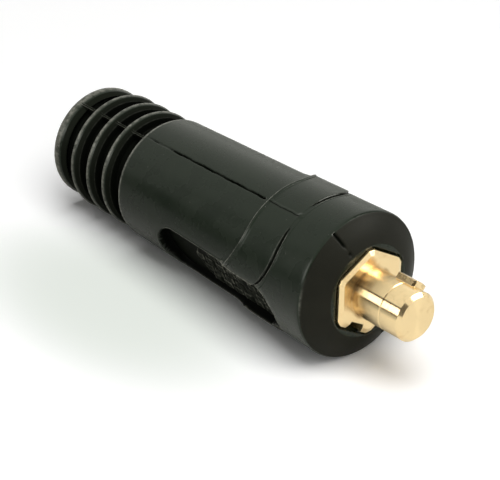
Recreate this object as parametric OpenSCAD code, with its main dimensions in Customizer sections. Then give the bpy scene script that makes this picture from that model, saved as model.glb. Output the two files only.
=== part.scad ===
// Welding cable plug: a quarter-turn brass contact in a moulded rubber sleeve.
// It stands on its cable end. Z runs along its axis, up towards the contact pin,
// and the origin is the middle of the rear face. The sleeve's parting lines lie
// on +Y and -Y, and its two grip recesses on +X and -X.

/* [Sleeve] */
// Length from the rear face to the land around the collar
sleeve_l = 112; // [100:1:130]
// Diameter at the front edge
front_d = 39.3; // [38:0.1:44]
// Diameter of the body just in front of the ribs
waist_d = 34.2; // [32:0.1:36]
// Diameter where the body meets the rear edge of the band
throat_d = 37; // [36:0.1:37.6]
// Height of the domed front face above the front edge
nose_h = 3.2; // [2:0.1:6]
// Rounding of the front edge
front_edge_r = 1.2; // [0.6:0.1:2]
// Diameter of the passage for the cable
cable_bore_d = 15.5; // [10:0.5:18]
// Chamfer of the cable entry
entry_chamfer = 1; // [0.4:0.1:2]

/* [Cable end ribs] */
// Number of plain ribs between the end ring and the body
rib_n = 3; // [2:1:3]
// Distance from one rib to the next
rib_pitch = 7; // [6:0.25:8]
// Width of a rib
rib_w = 2.8; // [2:0.2:4]
// Diameter over the ribs
rib_d = 33.4; // [32:0.2:36]
// Depth of the grooves between the ribs
groove_h = 3.4; // [2:0.2:4.2]
// Width of the end ring
end_ring_w = 5.6; // [4.4:0.2:7]
// Diameter of the end ring
end_ring_d = 31.8; // [30:0.2:34]
// Width of the groove between the end ring and the first rib
end_groove_w = 4.6; // [3:0.2:6]
// Width of the groove between the last rib and the body
last_groove_w = 5.2; // [3:0.2:6]
// Rounding of the end ring's rear edge
end_ring_r = 2.2; // [1:0.2:2.6]
// Rounding of the rib edges
rib_edge_r = 0.7; // [0.3:0.1:0.9]
// Thickness of the flash webs that cross the grooves on the parting line
web_t = 0.7; // [0.4:0.1:1.5]
// Height of those webs above the floor of the grooves
web_h = 2.6; // [1:0.2:2.8]

/* [Band] */
// Distance from the front edge back to the band
band_setback = 12.8; // [9:0.1:16]
// Length of the band
band_l = 12.2; // [8:0.2:16]
// How far the band stands above the body behind it
band_step = 0.4; // [0.2:0.05:0.8]
// Extra rise of the band beside the grip recesses
band_rise = 0.5; // [0.3:0.05:0.9]
// Width over the swept corners of the band
band_w = 35.4; // [33:0.2:36]
// Radius of the swept corners at the front of the band
sweep_front_r = 7; // [4:0.5:10]
// Radius of the swept corners at the rear of the band
sweep_rear_r = 9; // [5:0.5:12]

/* [Grip recess] */
// Length of each recess
recess_l = 48.9; // [36:0.5:56]
// Width of each recess
recess_w = 16; // [12:0.5:18]
// Distance from the front edge back to the recess
recess_setback = 11.2; // [8:0.1:16]
// Depth of the recess below the body
recess_h = 3.5; // [2:0.1:4]
// Rise of the marking pad above the recess floor
pad_rise = 0.5; // [0.3:0.1:1]
// Length of the marking pad
pad_l = 34; // [20:1:40]
// Gap between the marking pad and the recess wall
pad_margin = 1.2; // [0.8:0.1:2.5]
// Width of the parting line
seam_w = 0.4; // [0.2:0.1:0.8]
// Depth of the parting line
seam_h = 0.25; // [0.1:0.05:0.5]
// Distance that the parting line keeps from the ribs and the band
seam_margin = 3; // [1:0.5:8]

/* [Contact] */
// Diameter of the contact pin
pin_d = 13; // [12:0.1:14]
// Length of the pin in front of the collar
pin_l = 16.2; // [13:0.1:20]
// Chamfer of the pin's tip
pin_chamfer = 0.9; // [0.4:0.1:1.5]
// Distance from the tip back to the fine turned line
line_setback = 6.8; // [2:0.1:10]
// Depth of that line
line_h = 0.2; // [0.1:0.05:0.3]
// Width over the collar's flats
collar_af = 20.6; // [19.8:0.1:21.6]
// Diameter to which the collar's corners are turned
collar_d = 22.8; // [22:0.1:23]
// Thickness of the collar
collar_t = 4.8; // [3:0.1:6]
// How far the collar stands out of the sleeve
collar_proud = 1.1; // [0.6:0.1:2]
// Width of the bevel round the collar's face
collar_chamfer = 1.2; // [0.2:0.1:1.5]
// Slope of that bevel
collar_bevel = 23; // [15:1:30]
// Diameter of the contact's body inside the sleeve
barrel_d = 19; // [17:0.1:19.4]
// Length of the contact's body behind the collar
barrel_l = 42; // [38:0.5:50]
// Diameter of the socket for the stripped cable
socket_d = 11; // [8:0.1:11.6]
// Depth of the socket
socket_l = 30; // [26:0.5:34]
// Chamfer of the contact's rear edge
barrel_chamfer = 0.5; // [0.2:0.1:1]
// Turn of the contact in the sleeve
contact_turn = 2.5; // [-10:0.5:10]

/* [Bayonet lug and key notch] */
// Width of the lug round the pin
lug_w = 5; // [3:0.1:6]
// Length of the lug along the pin
lug_l = 6.7; // [5:0.1:8.6]
// Height of the lug above the pin
lug_h = 1.5; // [1:0.1:2]
// Distance from the pin's tip back to the lug
lug_setback = 4.2; // [1.6:0.1:5]
// Slope of the cam face at the back of the lug
lug_cam = 9; // [0:1:14]
// Chamfer of the lug's front corners
lug_chamfer = 0.6; // [0.2:0.1:1.2]
// Place of the lug round the pin
lug_turn = 20; // [0:1:60]
// Width of the key notch at its mouth
notch_w = 6; // [4:0.1:7]
// Width of the key notch at its floor
notch_floor_w = 4.5; // [2:0.1:5]
// Depth of the key notch below the flat
notch_h = 2; // [1:0.1:2.5]

/* [Cable clamp] */
// Thread diameter of the clamping screws
screw_d = 8; // [5:0.5:9]
// Size of the hexagon socket
screw_af = 4; // [2.5:0.5:5]
// Depth of the hexagon socket
screw_socket_h = 1.8; // [1:0.1:2.6]
// Distance from the contact's rear end to the first screw
screw_setback = 8; // [6:0.5:9]
// Distance between the two screws
screw_pitch = 12; // [10:0.5:14]
// Wall of the wire ferrule
ferrule_t = 0.5; // [0.3:0.1:0.8]
// Length of the wire ferrule
ferrule_l = 27; // [20:1:28]
// Distance from the contact's rear end to the ferrule
ferrule_setback = 1; // [0.5:0.1:1.5]

/* [Fits] */
// Gap between the contact and the sleeve
sleeve_gap = 0.1; // [0.05:0.05:0.3]
// Wider gap round the collar at the mouth of its pocket
mouth_gap = 0.5; // [0.2:0.1:0.8]
// Depth of that mouth
mouth_h = 1.6; // [0.5:0.1:2.5]
// Gap between a clamping screw and its thread
thread_gap = 0.05; // [0.02:0.01:0.1]
// Gap between the ferrule and the socket
ferrule_gap = 0.1; // [0.05:0.05:0.2]
// Depth of the retaining groove round the contact
retain_h = 0.8; // [0.4:0.1:1.2]
// Width of the retaining groove
retain_w = 3; // [2:0.2:4]
// Distance from the collar back to the retaining groove
retain_setback = 9; // [6:0.5:14]

/* [Hidden] */
$fn = 96;

// Where the lengths fall along the axis
front_z = sleeve_l - nose_h;
collar_z = sleeve_l + collar_proud;
seat_z = collar_z - collar_t;
barrel_z = seat_z - barrel_l;
tip_z = collar_z + pin_l;
band_front_z = front_z - band_setback;
band_rear_z = band_front_z - band_l;
first_rib_z = end_ring_w + end_groove_w;
ribs_l = first_rib_z + (rib_n - 1) * rib_pitch + rib_w + last_groove_w;
recess_front_z = front_z - recess_setback;
recess_rear_z = recess_front_z - recess_l;
retain_z = seat_z - retain_setback;

// Radii
front_r = front_d / 2;
waist_r = waist_d / 2;
throat_r = throat_d / 2;
rib_r = rib_d / 2;
groove_r = rib_r - groove_h;
barrel_r = barrel_d / 2;
bore_r = barrel_r + sleeve_gap;
cable_r = cable_bore_d / 2;
collar_r = collar_d / 2;
land_r = collar_r + 2 * mouth_gap;
band_r = throat_r + band_step;
pin_r = pin_d / 2;

body_slope = atan((throat_r - waist_r) / (band_rear_z - ribs_l));
nose_slope = atan((front_r - band_r) / (front_z - front_edge_r - band_rear_z));
// Turn from a corner of the collar to the flat that carries the key notch and the screws
notch_turn = 210;
// Turn of the front edge's rounding before it runs into the domed face
face_turn = 70;
// Steps of a rounding, how far a cutter overlaps, and a length beyond the whole part
arc_steps = 5;
over = 0.5;
far = 2 * sleeve_l;

// Radius of the smooth body at a height
function body_r_at(z) = waist_r + (z - ribs_l) * tan(body_slope);

// Radius of the front section at a height
function front_r_at(z) = band_r + (z - band_rear_z) * tan(nose_slope);

// Points of a quarter round of radius r about [cx, cy], from angle a to angle b
function arc(cx, cy, r, a, b) =
    [for (i = [0:arc_steps])
        let (t = a + (b - a) * i / arc_steps)
        [cx + r * cos(t), cy + r * sin(t)]];

// Half section of a disc with rounded outer corners
module ring_section(r, z0, z1, round_low, round_high) {
    polygon(concat(
        [[0, z0]],
        arc(r - round_low, z0 + round_low, round_low, -90, 0),
        arc(r - round_high, z1 - round_high, round_high, 0, 90),
        [[0, z1]]));
}

// The cable end: a core, the end ring and the plain ribs
module ribs() {
    rotate_extrude() {
        square([groove_r, ribs_l + over]);
        ring_section(end_ring_d / 2, 0, end_ring_w, end_ring_r, end_ring_r / 2);
        for (i = [0:rib_n - 1]) {
            rib_z = first_rib_z + i * rib_pitch;
            ring_section(rib_r, rib_z, rib_z + rib_w, rib_edge_r, rib_edge_r);
        }
    }
    // Flash webs across the grooves, where the mould halves met
    translate([-web_t / 2, -groove_r - web_h, end_ring_w / 2])
        cube([web_t, 2 * (groove_r + web_h), ribs_l - end_ring_w / 2 + over]);
}

// The smooth tapered body behind the band
module body() {
    rotate_extrude()
        polygon(concat(
            [[0, ribs_l]],
            arc(waist_r - rib_edge_r, ribs_l + rib_edge_r, rib_edge_r, -90, 0),
            [[throat_r, band_rear_z], [throat_r, band_rear_z + over], [0, band_rear_z + over]]));
}

// The front section with its domed face, flush with the band on the parting lines
module front_section() {
    rotate_extrude()
        polygon(concat(
            [[0, band_rear_z], [band_r, band_rear_z]],
            arc(front_r - front_edge_r, front_z - front_edge_r, front_edge_r, 0, face_turn),
            [[land_r, sleeve_l], [0, sleeve_l]]));
}

// Outline, seen from a parting line, of all that lies behind a swept edge at height z
module swept_outline(z, corner_r) {
    translate([0, z - corner_r]) {
        for (s = [-1, 1])
            translate([s * (band_w / 2 - corner_r), 0]) circle(r = corner_r);
        translate([-band_w / 2 + corner_r, 0]) square([band_w - 2 * corner_r, corner_r]);
        translate([-band_w / 2, -band_w]) square([band_w, band_w]);
    }
}

// The raised band: two eccentric shells that meet flush on the parting lines,
// between two swept edges that run back along the grip recesses
module band() {
    foot_z = band_rear_z - sweep_rear_r;
    intersection() {
        for (s = [-1, 1])
            intersection() {
                translate([s * band_rise, 0, foot_z])
                    cylinder(
                        r1 = front_r_at(foot_z), r2 = front_r_at(band_front_z),
                        h = band_front_z - foot_z);
                translate([s > 0 ? 0 : -far, -far / 2, 0]) cube([far, far, far]);
            }
        rotate([90, 0, 0])
            linear_extrude(far, center = true)
                difference() {
                    swept_outline(band_front_z, sweep_front_r);
                    swept_outline(band_rear_z, sweep_rear_r);
                }
    }
}

// Outline of a grip recess, or of the pad in it, seen square on
module slot_outline(length, width) {
    for (s = [-1, 1]) translate([s * (length - width) / 2, 0]) circle(d = width);
    square([length - width, width], center = true);
}

// Cutter of one recess: its floor runs parallel to the body, with the marking pad left standing
module recess_cut() {
    mid_z = (recess_front_z + recess_rear_z) / 2;
    floor_r = body_r_at(mid_z) - recess_h;
    pad_w = recess_w - 2 * pad_margin;
    cutter_h = 4 * recess_h;
    translate([floor_r, 0, mid_z])
        rotate([0, 90 + body_slope, 0])
            difference() {
                linear_extrude(cutter_h) slot_outline(recess_l, recess_w);
                translate([-(recess_l - pad_l) / 2 + pad_margin, 0, -over])
                    linear_extrude(over + pad_rise) slot_outline(pad_l, pad_w);
            }
}

// Fine groove of the parting line along the body, on +Y
module seam_cut() {
    seam_l = band_rear_z - ribs_l - 2 * seam_margin;
    seam_z = ribs_l + seam_margin;
    translate([0, body_r_at(seam_z), seam_z])
        rotate([-body_slope, 0, 0])
            translate([-seam_w / 2, -seam_h, 0])
                cube([seam_w, 2 * seam_h, seam_l]);
}

// Everything that the contact takes out of the sleeve, with its clearance
module contact_space() {
    neck_z = barrel_z - sleeve_gap - (bore_r - cable_r);
    retain_r = barrel_r - retain_h + 2 * sleeve_gap;
    translate([0, 0, seat_z - sleeve_gap])
        collar_prism(collar_af / 2 + sleeve_gap, collar_r + sleeve_gap, collar_t + over);
    translate([0, 0, sleeve_l - mouth_h])
        collar_prism(collar_af / 2 + mouth_gap, collar_r + mouth_gap, mouth_h + over);
    rotate_extrude()
        polygon([
            [0, neck_z], [cable_r, neck_z],
            [bore_r, barrel_z - sleeve_gap],
            [bore_r, retain_z],
            [retain_r, retain_z + retain_h],
            [retain_r, retain_z + retain_w - retain_h],
            [bore_r, retain_z + retain_w],
            [bore_r, seat_z + over], [0, seat_z + over]]);
}

// Chamfer of the cable entry
module entry_cone() {
    h = entry_chamfer + over;
    translate([0, 0, -over]) cylinder(r1 = cable_r + h, r2 = cable_r, h = h);
}

module insulating_sleeve() {
    color([0.13, 0.13, 0.12])
        difference() {
            union() {
                ribs();
                body();
                front_section();
                band();
            }
            for (turn = [0, 180]) {
                rotate(turn) recess_cut();
                rotate(turn) seam_cut();
            }
            contact_space();
            translate([0, 0, -over]) cylinder(r = cable_r, h = barrel_z);
            entry_cone();
        }
}

// Hexagon with its corners turned round, one corner on +X before the contact's turn
module collar_prism(apothem, corner_r, h) {
    rotate(contact_turn)
        intersection() {
            cylinder(r = corner_r, h = h);
            cylinder(r = apothem / cos(30), h = h, $fn = 6);
        }
}

// Turned brass from the socket to the tip, before the hexagon and the notch are cut
module contact_turned() {
    rotate_extrude()
        polygon([
            [0, barrel_z], [barrel_r - barrel_chamfer, barrel_z],
            [barrel_r, barrel_z + barrel_chamfer],
            [barrel_r, retain_z - sleeve_gap],
            [barrel_r - retain_h, retain_z + retain_h - sleeve_gap],
            [barrel_r - retain_h, retain_z + retain_w - retain_h + sleeve_gap],
            [barrel_r, retain_z + retain_w + sleeve_gap],
            [barrel_r, seat_z], [0, seat_z]]);
    rotate_extrude() pin_section();
}

// Half section of the contact pin, with its fine turned line and its chamfered tip
module pin_section() {
    line_z = tip_z - line_setback;
    polygon([
        [0, seat_z], [pin_r, seat_z],
        [pin_r, line_z - line_h], [pin_r - line_h, line_z], [pin_r, line_z + line_h],
        [pin_r, tip_z - pin_chamfer], [pin_r - pin_chamfer, tip_z], [0, tip_z]]);
}

// Hexagonal collar with a bevel round its face and a key notch in one flat
module collar() {
    bevel_h = collar_chamfer * tan(collar_bevel);
    difference() {
        hull() {
            translate([0, 0, seat_z])
                collar_prism(collar_af / 2, collar_r, collar_t - bevel_h);
            translate([0, 0, seat_z])
                collar_prism(collar_af / 2 - collar_chamfer, collar_r - collar_chamfer, collar_t);
        }
        rotate(contact_turn + notch_turn)
            translate([collar_af / 2, 0, seat_z - over])
                linear_extrude(collar_t + 2 * over)
                    polygon([
                        [-notch_h, -notch_floor_w / 2], [0, -notch_w / 2], [collar_d, -notch_w / 2],
                        [collar_d, notch_w / 2], [0, notch_w / 2], [-notch_h, notch_floor_w / 2]]);
    }
}

// Bayonet lug: a sector of a ring whose rear face slopes as the locking cam
module lug() {
    lug_front = tip_z - lug_setback;
    cam = lug_w * tan(lug_cam);
    intersection() {
        translate([0, 0, collar_z]) cylinder(r = pin_r + lug_h, h = pin_l);
        rotate([0, 0, contact_turn + lug_turn])
            rotate([90, 0, 90])
                linear_extrude(pin_d)
                    polygon([
                        [-lug_w / 2, lug_front - lug_l], [lug_w / 2, lug_front - lug_l + cam],
                        [lug_w / 2, lug_front - lug_chamfer], [lug_w / 2 - lug_chamfer, lug_front],
                        [-lug_w / 2 + lug_chamfer, lug_front], [-lug_w / 2, lug_front - lug_chamfer]]);
    }
}

// Axis of the clamping screws: across the contact, through the flat with the notch
module at_screw(i) {
    rotate(contact_turn + notch_turn)
        translate([socket_d / 2, 0, barrel_z + screw_setback + i * screw_pitch])
            rotate([0, 90, 0]) children();
}

module contact_body() {
    color([0.83, 0.68, 0.40])
        difference() {
            union() {
                contact_turned();
                collar();
                lug();
            }
            translate([0, 0, barrel_z - over]) cylinder(d = socket_d, h = socket_l + over);
            for (i = [0, 1])
                at_screw(i) translate([0, 0, -socket_d / 4]) cylinder(d = screw_d, h = barrel_r);
        }
}

// Thin copper ferrule that the stripped wires are gathered in
module wire_ferrule() {
    ferrule_r = socket_d / 2 - ferrule_gap;
    color([0.80, 0.50, 0.33])
        translate([0, 0, barrel_z + ferrule_setback])
            difference() {
                cylinder(r = ferrule_r, h = ferrule_l);
                translate([0, 0, -over]) cylinder(r = ferrule_r - ferrule_t, h = ferrule_l + 2 * over);
            }
}

// Headless clamping screw with a hexagon socket and a flat point, sunk just below the barrel.
// However short the screw, its socket leaves it a floor.
module clamp_screw(i) {
    screw_r = screw_d / 2 - thread_gap;
    chamfer = 0.5;
    point = 0.1;
    head = sqrt(pow(barrel_r, 2) - pow(screw_r - chamfer, 2)) - socket_d / 2 - point;
    deepest_share = 0.6;
    socket_h = min(screw_socket_h, deepest_share * (head - point));
    color([0.55, 0.55, 0.56])
        at_screw(i)
            difference() {
                rotate_extrude()
                    polygon([
                        [0, point], [screw_r - chamfer, point], [screw_r, point + chamfer],
                        [screw_r, head - chamfer], [screw_r - chamfer, head], [0, head]]);
                translate([0, 0, head - socket_h])
                    cylinder(d = screw_af / cos(30), h = socket_h + over, $fn = 6);
            }
}

insulating_sleeve();
contact_body();
wire_ferrule();
clamp_screw(1);  // clamp_screw_front
clamp_screw(0);  // clamp_screw_rear
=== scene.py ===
# %% [markdown]
# # A welding cable plug, dressed for its photograph
# A quarter-turn plug has a turned brass pin in a moulded rubber sleeve. The packed
# CAD model gives every size and place. This lesson loads it as a fixed frame, makes
# the rubber sleeve again as a soft-edged mesh, and gives each metal piece its finish.

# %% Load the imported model
import math

import bpy
import numpy as np
from mathutils import Matrix, Vector


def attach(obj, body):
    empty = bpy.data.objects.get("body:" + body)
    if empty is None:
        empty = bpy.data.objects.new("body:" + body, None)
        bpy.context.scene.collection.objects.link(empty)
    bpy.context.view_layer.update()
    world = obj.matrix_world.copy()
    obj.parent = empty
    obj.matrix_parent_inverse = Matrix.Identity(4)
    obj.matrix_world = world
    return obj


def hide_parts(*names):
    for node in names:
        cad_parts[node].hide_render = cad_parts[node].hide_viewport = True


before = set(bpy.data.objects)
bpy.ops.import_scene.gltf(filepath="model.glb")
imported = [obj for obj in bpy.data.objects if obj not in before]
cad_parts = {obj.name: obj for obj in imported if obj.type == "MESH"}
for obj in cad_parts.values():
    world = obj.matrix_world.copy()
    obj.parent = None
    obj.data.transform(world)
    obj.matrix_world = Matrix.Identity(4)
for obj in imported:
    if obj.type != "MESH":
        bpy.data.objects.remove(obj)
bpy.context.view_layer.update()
print("CAD nodes:", sorted(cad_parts))

# %% [markdown]
# ## The studio's directions
# In the photograph the plug lies on its side, while the CAD model stands on its cable
# end. Nothing is turned over: the floor, the lamps and the camera are placed round
# the standing model instead. Three directions are enough for that: along the plug
# towards its pin, up from the floor that it lies on, and across to the camera's right.

# %% Directions of the photograph's floor
MM = 0.001
FLOOR_AZIMUTH = math.radians(64.5)
ALONG = Vector((0, 0, 1))
UP = Vector((math.cos(FLOOR_AZIMUTH), math.sin(FLOOR_AZIMUTH), 0))
ACROSS = UP.cross(ALONG)


def studio(along, up, across):
    """A direction or place given along the plug, up from the floor and across."""
    return along * ALONG + up * UP + across * ACROSS


print("up:", [round(v, 3) for v in UP], "across:", [round(v, 3) for v in ACROSS])

# %% [markdown]
# ## The camera
# The photograph was taken with a long lens, from above and from the pin's end. A
# camera can be turned by hand until the picture looks right. This one was fitted to
# the circles of the ribs, the band, the front edge and the pin's tip, because that
# gives its place and its three directions at once. A lens of 144 mm on a 36 mm sensor
# is 2000 pixels long on a picture 500 pixels wide, as the fit found.

# %% Camera
SENSOR_MM, LENS_MM = 36, 144
CAMERA_PLACE = Vector((-0.156846, 0.351915, 0.417901))
CAMERA_RIGHT = Vector((0.68597755, -0.33721333, 0.64476505))
CAMERA_UP = Vector((0.66477496, 0.65071318, -0.36694225))
CAMERA_BACK = CAMERA_RIGHT.cross(CAMERA_UP)

camera_data = bpy.data.cameras.new("camera")
camera_data.sensor_width = SENSOR_MM
camera_data.lens = LENS_MM
camera = bpy.data.objects.new("camera", camera_data)
turn = Matrix((CAMERA_RIGHT, CAMERA_UP, CAMERA_BACK)).transposed()
camera.matrix_world = Matrix.Translation(CAMERA_PLACE) @ turn.to_4x4()
bpy.context.scene.collection.objects.link(camera)
bpy.context.scene.camera = camera
print("camera distance in mm:", round(1000 * CAMERA_PLACE.length))

# %% [markdown]
# ## Sizes of the rubber sleeve
# The sleeve is one moulding, so it stays one mesh. Its sizes are those of the CAD
# model, in millimetres. Heights run from the cable end, where the model stands. Two
# small functions, an even turn and a soft ridge, shape all that blends or stands out.

# %% Sizes of the sleeve
SLEEVE_L, FRONT_Z, FRONT_R, FRONT_EDGE_R = 112.0, 108.8, 19.635, 1.2
WAIST_R, THROAT_R, BAND_R = 17.1, 18.5, 18.9
RIBS_L, FIRST_RIB_Z, RIB_PITCH, RIB_W, RIBS = 32.2, 10.2, 7.0, 2.8, 3
RIB_R, GROOVE_R, WAIST_EDGE_R = 16.7, 13.3, 0.7
END_RING_W, END_RING_R, END_RING_EDGE_R = 5.6, 15.9, 2.2
BAND_REAR_Z, BAND_FRONT_Z, BAND_RISE, BAND_HALF_W = 83.8, 96.0, 0.5, 17.7
SWEEP_FRONT_R, SWEEP_REAR_R = 7.0, 9.0
RECESS_Z0, RECESS_Z1, RECESS_R, RECESS_H = 48.7, 97.6, 8.0, 3.5
COLLAR_APOTHEM, COLLAR_R, CONTACT_TURN = 10.3, 11.4, 2.5
CABLE_R, BORE_R, LAND_R = 7.75, 9.6, 12.4
WEB_HALF_T, WEB_R = 0.35, 15.9
BODY_SLOPE = (THROAT_R - WAIST_R) / (BAND_REAR_Z - RIBS_L)
NOSE_SLOPE = (FRONT_R - BAND_R) / (FRONT_Z - FRONT_EDGE_R - BAND_REAR_Z)


def smooth(edge0, edge1, x):
    """0 before edge0, 1 after edge1 and an even turn between them."""
    t = np.clip((x - edge0) / (edge1 - edge0), 0, 1)
    return t * t * (3 - 2 * t)


def ridge(x, width):
    """A soft ridge of height 1 about x = 0."""
    return np.exp(-((x / width) ** 2))


print("body taper in degrees:", round(math.degrees(math.atan(BODY_SLOPE)), 2))

# %% [markdown]
# ## Columns of the sleeve's mesh
# A lathe shape could be spun from one profile, but this one has recesses, a swept
# band and parting lines. A grid of columns round the axis and rows along it holds
# them all, if its lines lie close together where an edge has to look crisp: beside
# the recesses, near 25 degrees from X, and at the parting lines, on +Y and -Y.

# %% Angles of the columns
quarter = np.concatenate([
    np.arange(0, 21, 1.05),
    np.arange(21, 28.4, 0.4),
    np.linspace(28.6, 86, 21, endpoint=False),
    np.arange(86, 88.8, 0.4),
    np.arange(88.8, 89.95, 0.15),
    [90.0]])
half = np.concatenate([quarter, 180 - quarter[-2::-1]])
angles = np.radians(np.concatenate([half, 180 + half[1:-1]]))
print("columns:", len(angles))

# %% [markdown]
# ## The ribbed cable end
# The ribs let the end of the sleeve bend with the cable. They could be rings of their
# own, but one profile keeps the moulding whole. Each row of the grid has a height and
# a radius, and walks down each groove wall and up the next, so the walls stay square
# while their corners are rounded like a moulding's.

# %% End ring
FOOT_R, CREST_R, RING_FRONT_R = 0.4, 0.5, 0.8
RING_FALL, RIB_FALL, WALL_STEP = 0.85, 0.85, 1.4


def quarter_round(z, r, radius, start, end, steps=4):
    """Points of a rounded corner about (z, r), from angle start to angle end."""
    turns = np.radians(np.linspace(start, end, steps + 1))
    return [(z + radius * math.sin(t), r + radius * math.cos(t)) for t in turns]


def end_ring_points():
    """The flat rear face and the thick ring that closes the cable end."""
    edge = END_RING_EDGE_R
    points = [(0, CABLE_R + 1.2), (0, 11.5), (0, END_RING_R - edge - 0.05)]
    points += quarter_round(edge, END_RING_R - edge, edge, -90, 0, 7)
    points += [(edge + 0.6, END_RING_R - 0.05), (END_RING_W - 1.8, END_RING_R - 0.5)]
    front_r = END_RING_R - RING_FALL - RING_FRONT_R
    return points + quarter_round(END_RING_W - RING_FRONT_R, front_r, RING_FRONT_R, 20, 90)


print("points of the end ring:", len(end_ring_points()))


# %% Grooves and ribs
def groove_points(rear, front):
    """A groove between two walls, with a fillet at the foot of each."""
    points = [(rear, GROOVE_R + WALL_STEP)]
    points += quarter_round(rear + FOOT_R, GROOVE_R + FOOT_R, FOOT_R, -90, -180, 3)
    points += [((rear + front) / 2, GROOVE_R)]
    points += quarter_round(front - FOOT_R, GROOVE_R + FOOT_R, FOOT_R, 180, 90, 3)
    return points + [(front, GROOVE_R + WALL_STEP)]


def rib_points(rear):
    """The crest of a rib, which falls a little from its rear edge to its front edge."""
    points = quarter_round(rear + CREST_R, RIB_R - CREST_R, CREST_R, -90, 8)
    points += [(rear + RIB_W / 2, RIB_R - 0.38)]
    return points + quarter_round(rear + RIB_W - CREST_R, RIB_R - RIB_FALL - CREST_R,
                                  CREST_R, 25, 90)


def rib_profile():
    """Heights and radii from the rear face to the foot of the body."""
    points = end_ring_points()
    rear = END_RING_W
    for k in range(RIBS):
        rib_z = FIRST_RIB_Z + k * RIB_PITCH
        points += groove_points(rear, rib_z) + rib_points(rib_z)
        rear = rib_z + RIB_W
    points += groove_points(rear, RIBS_L)
    return points + quarter_round(RIBS_L + WAIST_EDGE_R, WAIST_R - WAIST_EDGE_R,
                                  WAIST_EDGE_R, -90, 0)


print("rows of the ribbed end:", len(rib_profile()))

# %% [markdown]
# ## Body, band and front section
# The body widens towards the raised band. Each half of the band is a round shell
# that is set off the axis, so it dies out at the parting lines and is proudest beside
# the recesses. Seen from a parting line, both its edges sweep back near the recesses.
# Shells joined by a boolean would meet in hard seams. A radius that is worked out from
# the angle and the height can blend them, with a lip and a fine gutter at the edges.

# %% Radius of the body, the band and the front section
BAND_FRONT_R = 19.27
LIP_H, LIP_AT, LIP_W = 0.20, 0.60, 0.52
GUTTER_H, GUTTER_AT, GUTTER_W = 0.50, 0.32, 0.27
SOFT_REACH = 4.0


def band_edges(angle):
    """Heights of the band's rear and front edge at an angle."""
    edges = []
    for z, corner_r, edge_r in ((BAND_REAR_Z, SWEEP_REAR_R, BAND_R),
                                (BAND_FRONT_Z, SWEEP_FRONT_R, BAND_FRONT_R)):
        swept = edge_r * np.abs(np.cos(angle)) - (BAND_HALF_W - corner_r)
        swept = np.clip(swept, 0, corner_r)
        edges.append(z - corner_r + np.sqrt(corner_r**2 - swept**2))
    return edges


def outer_radius(angle, z):
    """Radius of the sleeve at an angle and a height, without recesses and marks."""
    body = WAIST_R + (z - RIBS_L) * BODY_SLOPE
    nose = BAND_R + (z - BAND_REAR_Z) * NOSE_SLOPE
    beside_x = np.abs(np.cos(angle))
    shell = BAND_RISE * beside_x + np.sqrt(nose**2 - (BAND_RISE * np.sin(angle)) ** 2)
    rear, front = (z - edge for edge in band_edges(angle))
    lip = LIP_H * ridge(rear - LIP_AT, LIP_W)
    # The gutter starts clear of the parting lines and is half as deep near a recess.
    gutter = GUTTER_H * ridge(front - GUTTER_AT, GUTTER_W) * smooth(0.26, 0.38, beside_x)
    gutter = gutter * (1 - 0.5 * smooth(0.72, 0.86, beside_x))
    # Across a recess the step to the band is drawn out until it can't be seen.
    soft = SOFT_REACH * smooth(0.872, 0.900, beside_x)
    behind = body + (shell - body) * smooth(-0.20 - soft, 0.50 + soft, rear) + lip
    ahead = shell + (nose - shell) * smooth(-0.14, 0.12, front) - gutter
    return np.where(front < -1.5, behind, ahead)


print("radius at the band, beside a recess:",
      round(float(outer_radius(np.radians(26.0), 90.0)), 3))

# %% [markdown]
# ## Rows of the outside
# An even grid would cut across the band's edges and the sides of the recesses and
# leave them ragged. So the rows are bent along the band's two edges, and the columns
# near 26 degrees are pulled onto the sides of the recesses. That keeps both crisp
# with far fewer faces than a finer grid.

# %% Places of the rows, and columns beside a recess
RIM = 26.0
BENT_FROM, BENT_TO = 48, 107.6
BODY_PLACES = np.concatenate([
    np.linspace(33.6, 48, 9, endpoint=False), np.arange(48, 60, 0.36),
    np.arange(60, 82.5, 0.42), np.arange(82.6, 85, 0.12),
    np.arange(85, 94.7, 0.42), np.arange(94.8, 97.2, 0.12),
    np.arange(97.2, 104, 0.3), np.linspace(104, 107.6, 4, endpoint=False)])


def row(z, r, angle=angles):
    """One row of the grid: heights, radii and angles, one number or one per column."""
    return tuple(np.broadcast_to(v, angles.shape) for v in (z, r, angle))


def pull_to_recess(z):
    """Angles of the columns, moved so that those at RIM follow a recess's sides."""
    side = np.degrees(np.arcsin(RECESS_R / outer_radius(np.radians(RIM), z)))
    side = RIM + (side - RIM) * smooth(46, 50, z) * smooth(101, 97, z)
    turn = np.degrees(angles)
    past_x = np.mod(turn + 90, 180) - 90
    from_x = np.abs(past_x)
    moved = np.where(from_x < RIM, from_x * side / RIM,
                     90 - (90 - from_x) * (90 - side) / (90 - RIM))
    return np.radians(turn + np.sign(past_x) * (moved - from_x))


print("side of a recess at its middle, in degrees:",
      round(math.degrees(math.asin(RECESS_R / outer_radius(math.radians(RIM), 73.0))), 2))


# %% Rows along the body
def body_row(place):
    """A row of the body; between BENT_FROM and BENT_TO it follows the band's edges."""
    if place <= BENT_FROM:
        return row(place, outer_radius(angles, place))
    rear, front = band_edges(angles)
    knots = (BENT_FROM, BAND_REAR_Z, BAND_FRONT_Z, BENT_TO)
    bent = np.stack([np.full_like(rear, BENT_FROM), rear, front,
                     np.full_like(rear, BENT_TO)])
    z = np.array([np.interp(place, knots, column) for column in bent.T])
    angle = pull_to_recess(z)
    return row(z, outer_radius(angle, z), angle)


outer_rows = [row(z, r) for z, r in rib_profile()]
outer_rows += [body_row(place) for place in BODY_PLACES]
print("rows up to the front edge:", len(outer_rows))

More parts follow.
